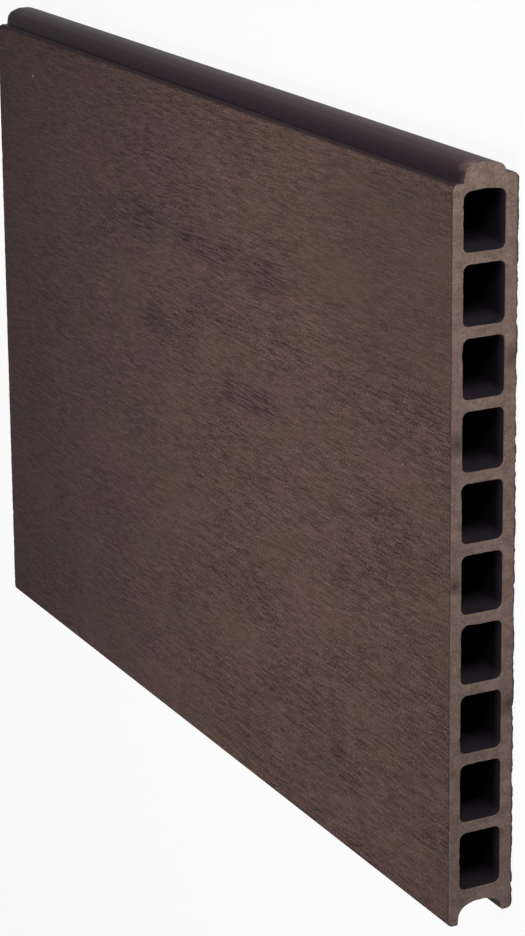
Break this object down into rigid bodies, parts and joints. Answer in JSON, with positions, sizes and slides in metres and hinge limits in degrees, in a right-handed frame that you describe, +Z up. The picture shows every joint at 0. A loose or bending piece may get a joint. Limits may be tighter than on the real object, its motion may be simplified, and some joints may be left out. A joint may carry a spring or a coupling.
{
  "type": "composite fence board",
  "caption": "Hollow wood-plastic composite fence board, cut to a short length, with a rounded tongue, a shallow groove and square cells along it.",
  "frame": {"origin": "under the middle of the board, on the plane of its back face", "axes": "+X along the extrusion, to the cut end nearest the camera; +Y across the board, from the groove to the tongue; +Z up, out of the brushed front face"},
  "size_m": [0.302, 0.2092, 0.02],
  "materials": {
    "wood_composite": "matte"
  },
  "bodies": {
    "root": {"fence_board": "wood_composite"}
  },
  "joints": []
}
